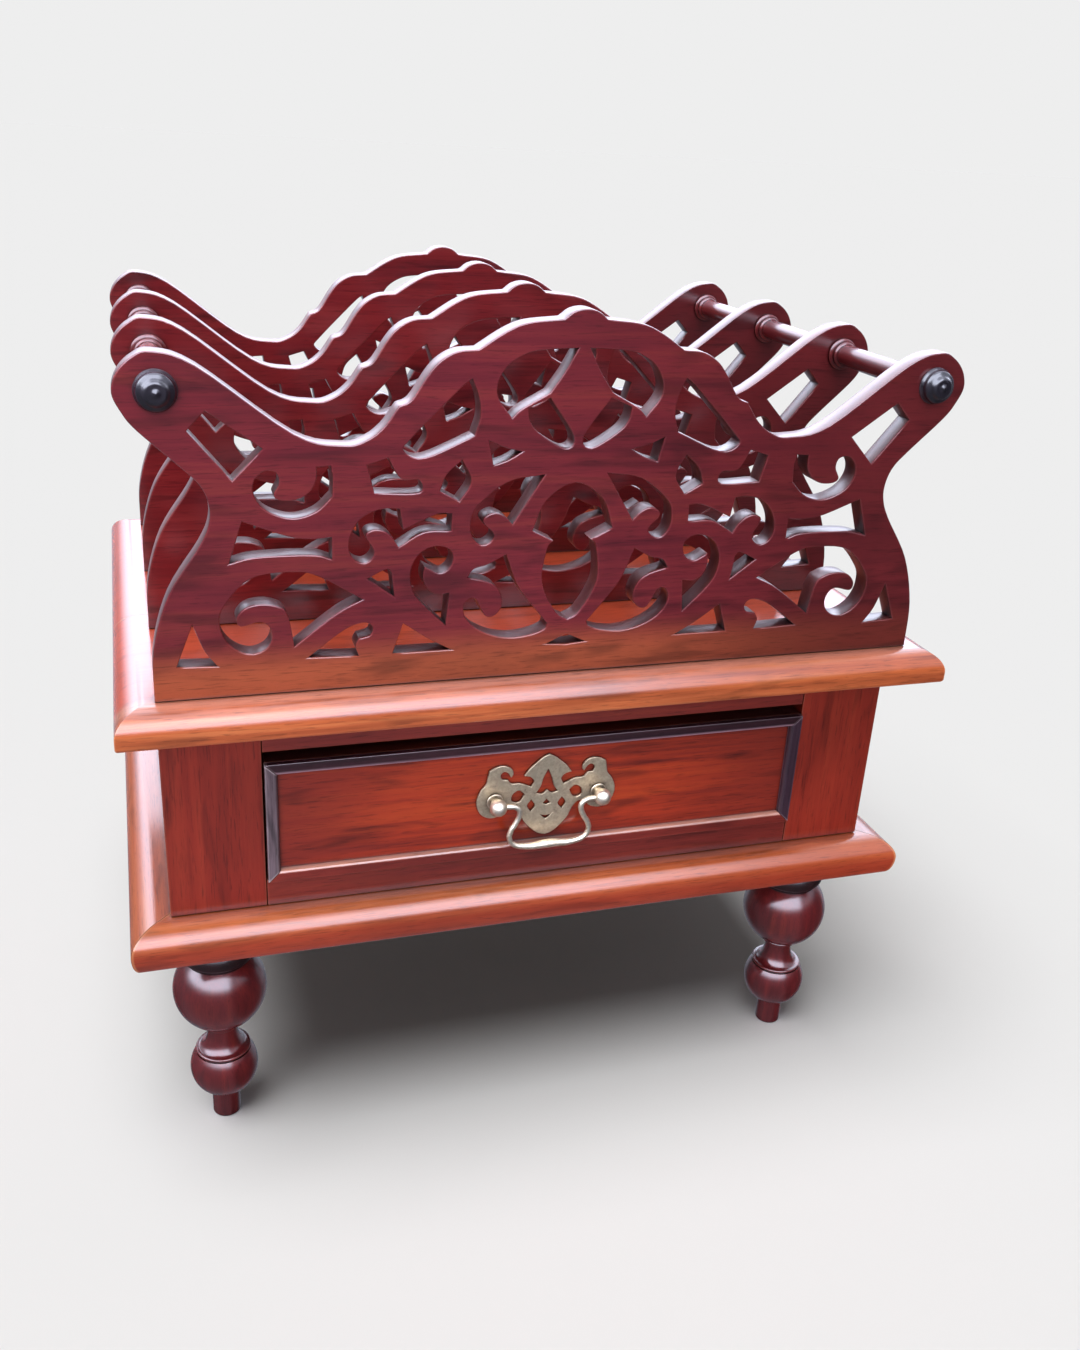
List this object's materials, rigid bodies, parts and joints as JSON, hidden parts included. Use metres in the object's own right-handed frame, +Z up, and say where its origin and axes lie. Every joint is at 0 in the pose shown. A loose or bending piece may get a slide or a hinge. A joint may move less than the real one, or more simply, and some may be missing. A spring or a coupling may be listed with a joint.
{
  "type": "magazine canterbury",
  "caption": "Free-standing wooden magazine rack: pierced scroll fret dividers tied by turned spindles over a moulded case with a sliding drawer, brass drop handle and turned ball feet.",
  "frame": {"origin": "on the floor, under the middle of the object's box", "axes": "+Z up; the drawer opens towards -Y; X runs along the fret panels"},
  "size_m": [0.525, 0.384, 0.5509],
  "materials": {
    "fret_mahogany": "dark red-brown french-polished mahogany, sawn and cleaned edges",
    "moulded_mahogany": "orange-brown french-polished mahogany, glossy",
    "case_mahogany": "red-brown french-polished mahogany",
    "drawer_mahogany": "red-orange figured mahogany with dark streaks, french polished",
    "turned_mahogany": "dark turned mahogany, high polish",
    "inner_wood": "plain secondary wood, planed and left bare",
    "antique_brass": "cast brass, aged to a dull grey-gold"
  },
  "bodies": {
    "stand": {"fret_panel_1": "fret_mahogany", "fret_panel_2": "fret_mahogany", "fret_panel_3": "fret_mahogany", "fret_panel_4": "fret_mahogany", "spindle_left_1": "turned_mahogany", "spindle_left_2": "turned_mahogany", "spindle_left_3": "turned_mahogany", "spindle_right_1": "turned_mahogany", "spindle_right_2": "turned_mahogany", "spindle_right_3": "turned_mahogany", "boss_front_left": "turned_mahogany", "boss_front_right": "turned_mahogany", "boss_back_left": "turned_mahogany", "boss_back_right": "turned_mahogany", "top_board_front": "moulded_mahogany", "top_board_back": "moulded_mahogany", "front_stile_left": "case_mahogany", "front_stile_right": "case_mahogany", "top_rail": "case_mahogany", "bottom_rail": "case_mahogany", "case_side_left": "case_mahogany", "case_side_right": "case_mahogany", "case_back": "case_mahogany", "base_board": "inner_wood", "plinth_front": "moulded_mahogany", "plinth_back": "moulded_mahogany", "plinth_left": "moulded_mahogany", "plinth_right": "moulded_mahogany", "foot_front_left": "turned_mahogany", "foot_front_right": "turned_mahogany", "foot_back_left": "turned_mahogany", "foot_back_right": "turned_mahogany", "drawer_runner_left": "inner_wood", "drawer_runner_right": "inner_wood", "drawer_guide_left": "inner_wood", "drawer_guide_right": "inner_wood", "drawer_kicker_left": "inner_wood", "drawer_kicker_right": "inner_wood", "drawer_stop_left": "inner_wood", "drawer_stop_right": "inner_wood"},
    "drawer": {"drawer_front": "drawer_mahogany", "drawer_bead_top": "case_mahogany", "drawer_bead_bottom": "case_mahogany", "drawer_bead_left": "case_mahogany", "drawer_bead_right": "case_mahogany", "drawer_side_left": "inner_wood", "drawer_side_right": "inner_wood", "drawer_back": "inner_wood", "drawer_bottom": "inner_wood", "pull_plate": "antique_brass", "pull_post_left": "antique_brass", "pull_post_right": "antique_brass", "pull_nut_left": "antique_brass", "pull_nut_right": "antique_brass"},
    "bail": {"pull_bail": "antique_brass"}
  },
  "joints": [
    {"name": "drawer_slide", "type": "slide", "parent": "stand", "child": "drawer", "axis": [0, -1, 0], "range_m": [0, 0.2]},
    {"name": "bail_swing", "type": "hinge", "parent": "drawer", "child": "bail", "pos_m": [0, -0.1669, 0.24327], "axis": [-1, 0, 0], "range_deg": [0, 180]}
  ]
}
